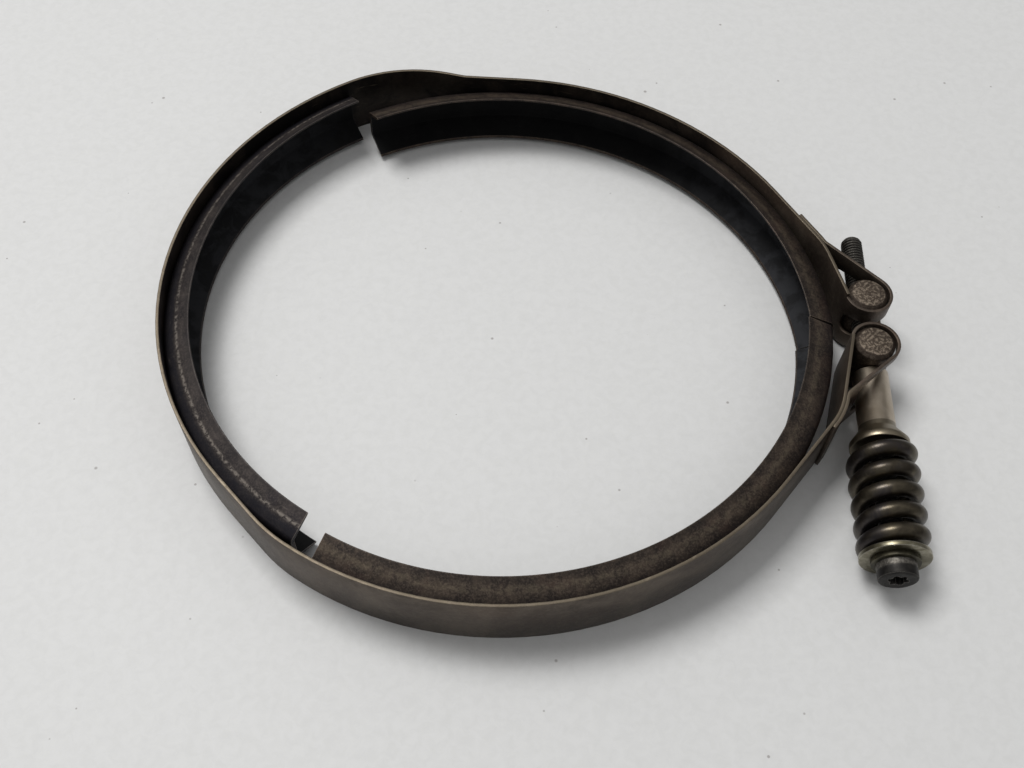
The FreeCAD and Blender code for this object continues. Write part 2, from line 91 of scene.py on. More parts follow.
@dataclass
class Graph:
    """A node tree with short calls for adding and joining nodes."""

    tree: bpy.types.NodeTree

    def add(self, kind: str, **values: object) -> bpy.types.Node:
        """Add a node and set its properties.

        Args:
            kind: the node's type name.
            values: properties of the node by name.

        Returns:
            The new node.
        """
        node = self.tree.nodes.new(kind)
        for name, value in values.items():
            setattr(node, name, value)
        return node

    def feed(self, value: Feed, target: Socket) -> None:
        """Join an output to an input, or set the input to a plain value.

        Args:
            value: a socket or a plain value.
            target: the input.
        """
        if isinstance(value, Socket):
            self.tree.links.new(value, target)
        else:
            target.default_value = value

    def maths(self, operation: str, first: Feed, second: Feed = 0.0) -> Socket:
        """Add a Math node.

        Args:
            operation: the node's operation.
            first: a socket or a number.
            second: a socket or a number.

        Returns:
            The node's output.
        """
        node = self.add("ShaderNodeMath", operation=operation)
        self.feed(first, node.inputs[0])
        self.feed(second, node.inputs[1])
        return node.outputs[0]

    def vectors(self, operation: str, *terms: Feed) -> bpy.types.Node:
        """Add a Vector Math node.

        Args:
            operation: the node's operation.
            terms: sockets or vectors, in the order of the node's inputs.

        Returns:
            The node.
        """
        node = self.add("ShaderNodeVectorMath", operation=operation)
        for term, target in zip(terms, node.inputs):
            self.feed(term, target)
        return node

    def ramp(self, value: Socket, low: Feed, high: Feed, least: float = 0.0,
             most: float = 1.0) -> Socket:
        """Ease a value from one level to another.

        Args:
            value: the value to follow.
            low: the value, or a socket, at which the easing starts.
            high: the value, or a socket, at which it ends.
            least: what comes out up to low.
            most: what comes out from high on.

        Returns:
            The eased value.
        """
        node = self.add("ShaderNodeMapRange", interpolation_type="SMOOTHSTEP")
        feeds = {"Value": value, "From Min": low, "From Max": high, "To Min": least,
                 "To Max": most}
        for name, source in feeds.items():
            self.feed(source, node.inputs[name])
        return node.outputs[0]

    def noise(self, where: Socket, scale: Feed, detail: float, roughness: float = 0.5,
              distortion: float = 0.0) -> Socket:
        """Add a Noise Texture node.

        Args:
            where: texture coordinates.
            scale: a socket or a number.
            detail: how many layers of noise.
            roughness: how strong the finer layers are.
            distortion: how far the noise is warped.

        Returns:
            The noise, about 0 to 1.
        """
        node = self.add("ShaderNodeTexNoise")
        feeds = {"Vector": where, "Scale": scale, "Detail": detail, "Roughness": roughness,
                 "Distortion": distortion}
        for name, source in feeds.items():
            self.feed(source, node.inputs[name])
        return node.outputs[0]

    def cells(self, where: Socket, scale: Feed) -> bpy.types.Node:
        """Add a Voronoi Texture node.

        Args:
            where: texture coordinates.
            scale: a socket or a number.

        Returns:
            The node.
        """
        node = self.add("ShaderNodeTexVoronoi")
        self.feed(where, node.inputs["Vector"])
        self.feed(scale, node.inputs["Scale"])
        return node

    def blend(self, share: Feed, first: Feed, second: Feed) -> Socket:
        """Add a colour Mix node.

        Args:
            share: how much of the second colour shows.
            first: a colour or a socket.
            second: a colour or a socket.

        Returns:
            The mixed colour.
        """
        node = self.add("ShaderNodeMix", data_type="RGBA")
        self.feed(share, node.inputs["Factor"])
        for value, target in ((first, node.inputs[6]), (second, node.inputs[7])):
            self.feed(value if isinstance(value, Socket) else (*value, 1.0), target)
        return node.outputs[2]

    def cover(self, body: Socket, colour: Colour, mask: Socket, share: float) -> Socket:
        """Lay a colour over a surface.

        Args:
            body: the surface's colour so far.
            colour: the colour to lay on.
            mask: where it goes.
            share: how much of it shows there.

        Returns:
            The new colour.
        """
        return self.blend(self.maths("MULTIPLY", mask, share), body, colour)


class Effect(Enum):
    """The shader node groups that the finishes share."""

    BLOTCH = "Blotch"
    EDGE_WEAR = "EdgeWear"
    GRAIN = "Grain"
    SCRATCH = "Scratch"
    SPECK = "Speck"
    STRIPE = "Stripe"


@dataclass
class EffectLibrary:
    """Builds each shared effect once, and hands it out as a group node."""

    groups: dict[Effect, bpy.types.NodeTree] = field(default_factory=dict)

    def place(self, graph: Graph, effect: Effect, **values: Feed) -> bpy.types.Node:
        """Put an effect into a material.

        Args:
            graph: the material's graph.
            effect: which effect.
            values: input values by socket name, with _ for a space.

        Returns:
            The group node.
        """
        if effect not in self.groups:
            builders = {Effect.BLOTCH: self.blotch, Effect.EDGE_WEAR: self.edge_wear,
                        Effect.GRAIN: self.grain, Effect.SCRATCH: self.scratch,
                        Effect.SPECK: self.speck, Effect.STRIPE: self.stripe}
            self.groups[effect] = builders[effect]()
        node = graph.add("ShaderNodeGroup", node_tree=self.groups[effect])
        for name, value in values.items():
            graph.feed(value, node.inputs[name.replace("_", " ")])
        return node

    def mask(self, graph: Graph, effect: Effect, **values: Feed) -> Socket:
        """Put an effect into a material and return its mask."""
        return self.place(graph, effect, **values).outputs["Mask"]

    def start(self, effect: Effect, inputs: Mapping[str, object],
              outputs: Sequence[str] = ("Mask",),
              ) -> tuple[Graph, bpy.types.NodeOutputs, bpy.types.NodeInputs]:
        """Make an empty group with named sockets.

        Args:
            effect: which effect.
            inputs: the default of each input by name. A number makes a float input, and a
                vector or None makes a vector input.
            outputs: names of the float outputs.

        Returns:
            The graph, the outputs of its input node and the inputs of its output node.
        """
        tree = bpy.data.node_groups.new(effect.value, "ShaderNodeTree")
        for name, default in inputs.items():
            kind = "NodeSocketFloat" if isinstance(default, float) else "NodeSocketVector"
            socket = tree.interface.new_socket(name=name, in_out="INPUT", socket_type=kind)
            if default is not None:
                socket.default_value = default
        for name in outputs:
            tree.interface.new_socket(name=name, in_out="OUTPUT", socket_type="NodeSocketFloat")
        graph = Graph(tree)
        return graph, graph.add("NodeGroupInput").outputs, graph.add("NodeGroupOutput").inputs

    def blotch(self) -> bpy.types.NodeTree:
        """Build soft-edged patches, as heat stain and oil leave.

        Returns:
            The group's tree.
        """
        graph, given, result = self.start(
            Effect.BLOTCH, {"Vector": None, "Scale": 60.0, "Low": 0.4, "High": 0.6})
        noise = graph.noise(given["Vector"], given["Scale"], detail=6.0, roughness=0.62,
                            distortion=0.5)
        graph.feed(graph.ramp(noise, given["Low"], given["High"]), result["Mask"])
        return graph.tree

    def edge_wear(self) -> bpy.types.NodeTree:
        """Build a mask of the edges where the dark skin is rubbed off.

        Returns:
            The group's tree.
        """
        least_noise, faint, full = 0.35, 0.01, 0.14
        graph, given, result = self.start(
            Effect.EDGE_WEAR, {"Vector": None, "Radius": 0.5 * MM, "Scale": 400.0})
        bevel = graph.add("ShaderNodeBevel", samples=6)
        graph.feed(given["Radius"], bevel.inputs["Radius"])
        surface = graph.add("ShaderNodeNewGeometry")
        facing = graph.vectors("DOT_PRODUCT", bevel.outputs[0], surface.outputs["Normal"])
        bend = graph.maths("SUBTRACT", 1.0, facing.outputs["Value"])
        noise = graph.noise(given["Vector"], given["Scale"], detail=4.0)
        broken = graph.maths("MULTIPLY", bend, graph.maths("ADD", noise, least_noise))
        graph.feed(graph.ramp(broken, faint, full), result["Mask"])
        return graph.tree

    def grain(self) -> bpy.types.NodeTree:
        """Build fine pitting and its height.

        Returns:
            The group's tree.
        """
        noise_share, pit_share, pit_radius = 0.8, 0.2, 0.35
        graph, given, result = self.start(
            Effect.GRAIN, {"Vector": None, "Scale": 900.0}, ("Value", "Height"))
        noise = graph.noise(given["Vector"], given["Scale"], detail=5.0, roughness=0.7)
        pits = graph.cells(given["Vector"], given["Scale"])
        deep = graph.ramp(pits.outputs["Distance"], 0.0, pit_radius)
        height = graph.maths("ADD", graph.maths("MULTIPLY", noise, noise_share),
                             graph.maths("MULTIPLY", deep, pit_share))
        graph.feed(noise, result["Value"])
        graph.feed(height, result["Height"])
        return graph.tree

    def scratch(self) -> bpy.types.NodeTree:
        """Build thin rub marks drawn out along one direction.

        Returns:
            The group's tree.
        """
        graph, given, result = self.start(
            Effect.SCRATCH, {"Vector": None, "Stretch": (1.0, 1.0, 12.0), "Scale": 120.0,
                             "Low": 0.6, "High": 0.72})
        drawn = graph.vectors("MULTIPLY", given["Vector"], given["Stretch"])
        noise = graph.noise(drawn.outputs[0], given["Scale"], detail=7.0, roughness=0.7)
        graph.feed(graph.ramp(noise, given["Low"], given["High"]), result["Mask"])
        return graph.tree

    def speck(self) -> bpy.types.NodeTree:
        """Build scattered round specks of uneven size.

        Returns:
            The group's tree.
        """
        least_size, core = 0.4, 0.5
        graph, given, result = self.start(
            Effect.SPECK, {"Vector": None, "Scale": 70.0, "Size": 0.03, "Rarity": 0.5})
        cells = graph.cells(given["Vector"], given["Scale"])
        chance = graph.add("ShaderNodeSeparateColor")
        graph.feed(cells.outputs["Color"], chance.inputs[0])
        reach = graph.maths("MULTIPLY", given["Size"],
                            graph.maths("ADD", chance.outputs[1], least_size))
        fade = graph.ramp(cells.outputs["Distance"], graph.maths("MULTIPLY", reach, core), reach)
        disc = graph.maths("SUBTRACT", 1.0, fade)
        kept = graph.maths("GREATER_THAN", chance.outputs[0], given["Rarity"])
        graph.feed(graph.maths("MULTIPLY", disc, kept), result["Mask"])
        return graph.tree

    def stripe(self) -> bpy.types.NodeTree:
        """Build a band of one value's range with soft edges.

        Returns:
            The group's tree.
        """
        graph, given, result = self.start(
            Effect.STRIPE, {"Value": 0.0, "Middle": 0.5, "Half Width": 0.1, "Softness": 0.05})
        away = graph.maths("ABSOLUTE", graph.maths("SUBTRACT", given["Value"], given["Middle"]))
        outer = graph.maths("ADD", given["Half Width"], given["Softness"])
        fade = graph.ramp(away, given["Half Width"], outer)
        graph.feed(graph.maths("SUBTRACT", 1.0, fade), result["Mask"])
        return graph.tree


# ---------------------------------------------------------------- finishes


class Measure(Enum):
    """What a zone's range is a range of. Distances are in metres, either side of a plane."""

    HEIGHT = "distance from the clamp's mid-plane"
    BESIDE = "distance from its YZ plane"
    AHEAD = "distance from its XZ plane"
    FACING_UP = "how far the surface faces up or down, 0 to 1"
    INWARD = "1 facing the clamp's axis, -1 facing away, and less near the bolt"


@dataclass(frozen=True)
class Zone:
    """A coloured part of a surface, kept to a range of some measure.

    broken is how much of it, from 0 to 1, is in patches, and scale is how fine they are.
    INWARD fades with X, from bolt_side on and by bolt_side_fade a metre.
    """

    measure: Measure
    middle: float
    half_width: float
    softness: float
    colour: Colour
    share: float
    broken: float = 0.0
    scale: float = 300.0
    patch_low: float = 0.42
    patch_high: float = 0.58
    bolt_side: float = 0.04
    bolt_side_fade: float = 18.0

    def inward(self, graph: Graph, surface: bpy.types.Node) -> Socket:
        """Return how far the surface faces the clamp's axis.

        Args:
            graph: the material's graph.
            surface: its Geometry node.

        Returns:
            The value's socket.
        """
        level = graph.vectors("MULTIPLY", surface.outputs["Position"], (-1.0, -1.0, 0.0))
        to_axis = graph.vectors("NORMALIZE", level.outputs[0])
        facing = graph.vectors("DOT_PRODUCT", to_axis.outputs[0], surface.outputs["Normal"])
        split = graph.add("ShaderNodeSeparateXYZ")
        graph.feed(surface.outputs["Position"], split.inputs[0])
        past = graph.maths("MAXIMUM",
                           graph.maths("SUBTRACT", split.outputs["X"], self.bolt_side), 0.0)
        return graph.maths("SUBTRACT", facing.outputs["Value"],
                           graph.maths("MULTIPLY", past, self.bolt_side_fade))

    def value(self, graph: Graph) -> Socket:
        """Return what the zone is measured by.

        Args:
            graph: the material's graph.

        Returns:
            The value's socket.
        """
        surface = graph.add("ShaderNodeNewGeometry")
        if self.measure is Measure.INWARD:
            return self.inward(graph, surface)
        source, axis = {Measure.HEIGHT: ("Position", "Z"), Measure.BESIDE: ("Position", "X"),
                        Measure.AHEAD: ("Position", "Y"),
                        Measure.FACING_UP: ("Normal", "Z")}[self.measure]
        split = graph.add("ShaderNodeSeparateXYZ")
        graph.feed(surface.outputs[source], split.inputs[0])
        return graph.maths("ABSOLUTE", split.outputs[axis])

    def cover(self, graph: Graph, effects: EffectLibrary, where: Socket, body: Socket) -> Socket:
        """Colour the zone over a surface.

        Args:
            graph: the material's graph.
            effects: the shared effects.
            where: texture coordinates.
            body: the surface's colour so far.

        Returns:
            The colour with the zone.
        """
        mask = effects.mask(graph, Effect.STRIPE, Value=self.value(graph), Middle=self.middle,
                            Half_Width=self.half_width, Softness=self.softness)
        if self.broken:
            patches = effects.mask(graph, Effect.BLOTCH, Vector=where, Scale=self.scale,
                                   Low=self.patch_low, High=self.patch_high)
            kept = graph.maths("ADD", graph.maths("MULTIPLY", patches, self.broken),
                               1.0 - self.broken)
            mask = graph.maths("MULTIPLY", mask, kept)
        return graph.cover(body, self.colour, mask, self.share)


@dataclass(frozen=True)
class MetalFinish:
    """A stained or worn steel: two body colours, a worn edge and rub marks."""

    name: str
    dark: Colour
    light: Colour
    edge: Colour
    stain: Colour
    patch_scale: float = 55.0
    patch_low: float = 0.38
    patch_high: float = 0.66
    stain_share: float = 0.35
    stain_coarseness: float = 0.37
    stain_low: float = 0.5
    stain_high: float = 0.68
    edge_radius: float = 0.5 * MM
    edge_share: float = 0.8
    edge_gloss: float = 0.08
    rub_share: float = 0.25
    rub_stretch: tuple[float, float, float] = (1.0, 1.0, 10.0)
    rough_low: float = 0.34
    rough_high: float = 0.58
    metallic: float = 0.75
    specular: float = 0.5
    grain_scale: float = 900.0
    grain_depth: float = 0.06 * MM
    grain_strength: float = 0.6
    mottle: float = 0.0
    mottle_scale: float = 700.0
    mottle_low: float = 0.44
    mottle_high: float = 0.64
    zones: tuple[Zone, ...] = ()

    def colour(self, graph: Graph, effects: EffectLibrary, where: Socket, wear: Socket) -> Socket:
        """Lay patches, stains, zones, rub marks and worn edges over each other.

        Args:
            graph: the material's graph.
            effects: the shared effects.
            where: texture coordinates.
            wear: the mask of worn edges.

        Returns:
            The surface's colour.
        """
        patch = effects.mask(graph, Effect.BLOTCH, Vector=where, Scale=self.patch_scale,
                             Low=self.patch_low, High=self.patch_high)
        stain = effects.mask(graph, Effect.BLOTCH, Vector=where,
                             Scale=self.patch_scale * self.stain_coarseness,
                             Low=self.stain_low, High=self.stain_high)
        rub = effects.mask(graph, Effect.SCRATCH, Vector=where, Stretch=self.rub_stretch)
        body = graph.blend(patch, self.dark, self.light)
        body = graph.cover(body, self.stain, stain, self.stain_share)
        if self.mottle:
            fine = effects.mask(graph, Effect.BLOTCH, Vector=where, Scale=self.mottle_scale,
                                Low=self.mottle_low, High=self.mottle_high)
            body = graph.cover(body, self.edge, fine, self.mottle)
        for zone in self.zones:
            body = zone.cover(graph, effects, where, body)
        body = graph.cover(body, self.edge, rub, self.rub_share)
        return graph.cover(body, self.edge, wear, self.edge_share)

    def make(self, effects: EffectLibrary) -> bpy.types.Material:
        """Build the material.

        Args:
            effects: the shared effects.

        Returns:
            The new material.
        """
        material = bpy.data.materials.new(self.name)
        material.use_nodes = True
        graph = Graph(material.node_tree)
        shader = graph.tree.nodes["Principled BSDF"]
        where = graph.add("ShaderNodeTexCoord").outputs["Object"]
        wear = effects.mask(graph, Effect.EDGE_WEAR, Vector=where, Radius=self.edge_radius)
        grain = effects.place(graph, Effect.GRAIN, Vector=where, Scale=self.grain_scale)
        graph.feed(self.colour(graph, effects, where, wear), shader.inputs["Base Color"])
        span = graph.maths("MULTIPLY", grain.outputs["Value"], self.rough_high - self.rough_low)
        rough = graph.maths("ADD", span, self.rough_low)
        rough = graph.maths("SUBTRACT", rough, graph.maths("MULTIPLY", wear, self.edge_gloss))
        graph.feed(rough, shader.inputs["Roughness"])
        shader.inputs["Metallic"].default_value = self.metallic
        shader.inputs["Specular IOR Level"].default_value = self.specular
        bump = graph.add("ShaderNodeBump")
        bump.inputs["Strength"].default_value = self.grain_strength
        bump.inputs["Distance"].default_value = self.grain_depth
        graph.feed(grain.outputs["Height"], bump.inputs["Height"])
        graph.feed(bump.outputs[0], shader.inputs["Normal"])
        return material


@dataclass(frozen=True)
class Blot:
    """A layer of patches or specks on the table: its group's inputs, colour and share."""

    effect: Effect
    values: Mapping[str, float]
    colour: Colour
    share: float


@dataclass(frozen=True)
class TableFinish:
    """A smooth off-white table top with faint smudges and specks."""

    name: str = "table_top"
    pale: Colour = (0.685, 0.69, 0.69)
    dull: Colour = (0.645, 0.65, 0.648)
    cloud_scale: float = 300.0
    cloud_low: float = 0.3
    cloud_high: float = 0.75
    roughness: float = 0.55
    blots: tuple[Blot, ...] = (
        Blot(Effect.BLOTCH, {"Scale": 110.0, "Low": 0.66, "High": 0.8}, (0.50, 0.50, 0.49), 0.16),
        Blot(Effect.SPECK, {"Scale": 80.0, "Size": 0.05, "Rarity": 0.3}, (0.25, 0.23, 0.22), 0.7),
    )

    def make(self, effects: EffectLibrary) -> bpy.types.Material:
        """Build the material.

        Args:
            effects: the shared effects.

        Returns:
            The new material.
        """
        material = bpy.data.materials.new(self.name)
        material.use_nodes = True
        graph = Graph(material.node_tree)
        shader = graph.tree.nodes["Principled BSDF"]
        where = graph.add("ShaderNodeTexCoord").outputs["Object"]
        cloud = effects.mask(graph, Effect.BLOTCH, Vector=where, Scale=self.cloud_scale,
                             Low=self.cloud_low, High=self.cloud_high)
        body = graph.blend(cloud, self.pale, self.dull)
        for blot in self.blots:
            mask = effects.mask(graph, blot.effect, Vector=where, **blot.values)
            body = graph.cover(body, blot.colour, mask, blot.share)
        graph.feed(body, shader.inputs["Base Color"])
        shader.inputs["Roughness"].default_value = self.roughness
        return material


class Finish(Enum):
    """Each finish on the clamp."""

    BAND = MetalFinish(
        "band_skin", dark=(0.066, 0.051, 0.041), light=(0.125, 0.101, 0.080),
        edge=(0.42, 0.355, 0.26), stain=(0.10, 0.062, 0.045),
        mottle=0.06, edge_radius=0.22 * MM, edge_share=0.7,
        # Sooty black with painted shade: the band's faces that look in towards the axis, less so
        # near the bolt.
        zones=(Zone(Measure.INWARD, 1.0, 0.75, 0.2, (0.006, 0.0055, 0.006), 0.92, 0.3, 45.0),
               # Painted highlight: a paler line along the band's cut edges at the top and bottom.
               Zone(Measure.HEIGHT, 12.75 * MM, 0.16 * MM, 0.12 * MM, (0.13, 0.108, 0.076),
                    0.75, 0.35)))
    RETAINER = MetalFinish(
        "retainer_skin", dark=(0.030, 0.023, 0.020), light=(0.072, 0.054, 0.042),
        edge=(0.25, 0.195, 0.15), stain=(0.080, 0.044, 0.036),
        patch_scale=190.0, metallic=0.72, rub_share=0.16, mottle=0.24, mottle_scale=1500.0,
        # Painted shade: the legs are darkened next to the base bends, where they meet the band.
        zones=(Zone(Measure.HEIGHT, 5.6 * MM, 1.1 * MM, 1.5 * MM, (0.012, 0.011, 0.014),
                    0.65, 0.3),
               Zone(Measure.HEIGHT, 11.6 * MM, 0.9 * MM, 1.3 * MM, (0.014, 0.012, 0.011),
                    0.5, 0.5),
               # Painted highlight: a pale stripe, broken into patches, along the middle of each
               # leg, where a ridge would catch the light.
               Zone(Measure.HEIGHT, 9.1 * MM, 0.2 * MM, 0.7 * MM, (0.22, 0.18, 0.125),
                    0.25, 0.95, 500.0)))
    RETAINER_LEFT = MetalFinish(
        "retainer_left_skin", dark=(0.026, 0.022, 0.023), light=(0.056, 0.047, 0.044),
        edge=(0.26, 0.22, 0.19), stain=(0.036, 0.031, 0.038),
        patch_scale=150.0, metallic=0.72, rub_share=0.22, mottle=0.13, mottle_scale=1500.0,
        # Painted shade: the legs are darkened next to the base bends, where they meet the band.
        zones=(Zone(Measure.HEIGHT, 6.2 * MM, 1.5 * MM, 0.9 * MM, (0.016, 0.016, 0.023),
                    0.8, 0.2),
               Zone(Measure.HEIGHT, 11.6 * MM, 0.9 * MM, 1.0 * MM, (0.018, 0.016, 0.016),
                    0.55, 0.4),
               # Painted highlight: a pale stripe, broken into patches, along the middle of each
               # leg, where a ridge would catch the light.
               Zone(Measure.HEIGHT, 8.7 * MM, 0.02 * MM, 0.42 * MM, (0.36, 0.32, 0.28),
                    0.6, 1.0, 700.0)))
    # Sooty black with painted shade: the inside of the V channels is near black, dull and barely
    # glossy.
    CHANNEL = MetalFinish(
        "channel_soot_and_shade", dark=(0.0016, 0.0016, 0.0018), light=(0.004, 0.0038, 0.0038),
        edge=(0.05, 0.05, 0.053), stain=(0.006, 0.006, 0.007),
        patch_scale=90.0, metallic=0.0, specular=0.12, rub_share=0.12,
        rough_low=0.55, rough_high=0.8,
        # Painted light: the channels are paler on the clamp's left and right sides, where more
        # light reaches in.
        zones=(Zone(Measure.BESIDE, 0.125, 0.02, 0.05, (0.030, 0.031, 0.035),
                    0.75, 0.6, 110.0),))
    TRUNNION = MetalFinish(
        "trunnion_skin", dark=(0.060, 0.045, 0.034), light=(0.24, 0.195, 0.15),
        edge=(0.34, 0.28, 0.21), stain=(0.11, 0.08, 0.06),
        patch_scale=980.0, patch_low=0.44, patch_high=0.64, stain_share=0.2,
        grain_scale=520.0, grain_depth=0.3 * MM, rough_low=0.42, rough_high=0.66,
        rub_share=0.0, edge_share=0.25,
        # Painted shade: every face but the flat ends is darkened, the chamfers most.
        zones=(Zone(Measure.FACING_UP, 0.45, 0.42, 0.08, (0.045, 0.033, 0.026), 0.85, 0.2),))
    SPACER = MetalFinish(
        "spacer_skin", dark=(0.48, 0.405, 0.31), light=(0.60, 0.52, 0.42),
        edge=(0.75, 0.68, 0.56), stain=(0.34, 0.27, 0.19),
        patch_scale=110.0, stain_share=0.2, rough_low=0.30, rough_high=0.42, metallic=1.0,
        rub_share=0.1,
        # The cone and the flange are painted darker: painted shade on the cone, which tilts away
        # from the light, and the flange's own dark olive.
        zones=(Zone(Measure.AHEAD, 49.5 * MM, 4.6 * MM, 0.3 * MM, (0.17, 0.145, 0.10), 0.8),))
    SPRING = MetalFinish(
        "spring_skin", dark=(0.046, 0.038, 0.028), light=(0.105, 0.089, 0.062),
        edge=(0.26, 0.22, 0.17), stain=(0.040, 0.042, 0.070),
        patch_scale=120.0, rough_low=0.26, rough_high=0.42, metallic=0.88)
    LARGE_WASHER = MetalFinish(
        "large_washer_skin", dark=(0.15, 0.135, 0.09), light=(0.29, 0.27, 0.205),
        edge=(0.85, 0.83, 0.76), stain=(0.17, 0.145, 0.075),
        patch_scale=200.0, rough_low=0.22, rough_high=0.42, metallic=0.95, edge_share=1.0)
    SMALL_WASHER = MetalFinish(
        "small_washer_skin", dark=(0.042, 0.038, 0.026), light=(0.095, 0.086, 0.055),
        edge=(0.22, 0.20, 0.14), stain=(0.06, 0.054, 0.03),
        patch_scale=220.0)
    BOLT = MetalFinish(
        "bolt_skin", dark=(0.026, 0.024, 0.022), light=(0.062, 0.057, 0.050),
        edge=(0.26, 0.245, 0.22), stain=(0.040, 0.037, 0.034),
        patch_scale=380.0, grain_scale=700.0, grain_depth=0.1 * MM,
        rough_low=0.42, rough_high=0.65,
        zones=(Zone(Measure.AHEAD, 97.6 * MM, 0.9 * MM, 0.9 * MM, (0.27, 0.25, 0.22),
                    0.6, 0.7, 1300.0),
               # Painted shade in the six-lobe recess; this zone also darkens the front half of
               # the head's side and face.
               Zone(Measure.AHEAD, 101.4 * MM, 2.2 * MM, 1.0 * MM, (0.012, 0.011, 0.011),
                    0.75, 0.2)))


# ---------------------------------------------------------------- mesh helpers


def tube_mesh(name: str, rings: Sequence[Sequence[Vector]], sharp: float) -> bpy.types.Object:
    """Join rings of points into a closed skin.

    Args:
        name: the new object's name.
        rings: closed rings with the same number of points.
        sharp: the angle in degrees above which an edge stays crisp.

    Returns:
        The new object, in the part's frame.
    """
    sides = len(rings[0])
    points = [tuple(point) for ring in rings for point in ring]
    faces = []
    for row in range(len(rings) - 1):
        for side in range(sides):
            a = row * sides + side
            b = row * sides + (side + 1) % sides
            faces.append((a, b, b + sides, a + sides))
    last = (len(rings) - 1) * sides
    faces.append(tuple(reversed(range(sides))))
    faces.append(tuple(range(last, last + sides)))
    mesh = bpy.data.meshes.new(name)
    mesh.from_pydata(points, [], faces)
    mesh.update()
    mesh.validate()
    mesh.polygons.foreach_set("use_smooth", [True] * len(mesh.polygons))
    mesh.set_sharp_from_angle(angle=math.radians(sharp))
    thing = bpy.data.objects.new(name, mesh)
    bpy.context.scene.collection.objects.link(thing)
    return thing


def soften(thing: bpy.types.Object, width: float, sharp: float = 38.0) -> None:
    """Round the crisp edges of a solid with modifiers.

    Args:
        thing: the solid's object.
        width: the width of the rounding.
        sharp: the angle in degrees above which an edge is rounded.
    """
    weld = thing.modifiers.new("weld", "WELD")
    weld.merge_threshold = 0.001 * MM
    bevel = thing.modifiers.new("round", "BEVEL")
    bevel.width = width
    bevel.segments = 2
    bevel.limit_method = "ANGLE"
    bevel.angle_limit = math.radians(sharp)
    thing.data.polygons.foreach_set("use_smooth", [True] * len(thing.data.polygons))


def paint(thing: bpy.types.Object, material: bpy.types.Material) -> None:
    """Give an object one material in place of what it has."""
    thing.data.materials.clear()
    thing.data.materials.append(material)


# ---------------------------------------------------------------- the clamp


@dataclass
class BoltLine:
    """The bolt's axis, measured from the seat under its head."""

    seat: Vector
    towards_tip: Vector

    def place(self, x: float, y: float, z: float) -> Vector:
        """Return a point x towards the head, y away from the ring and z up."""
        outward = self.towards_tip.cross(UP)
        return self.seat - self.towards_tip * x + outward * y + UP * z


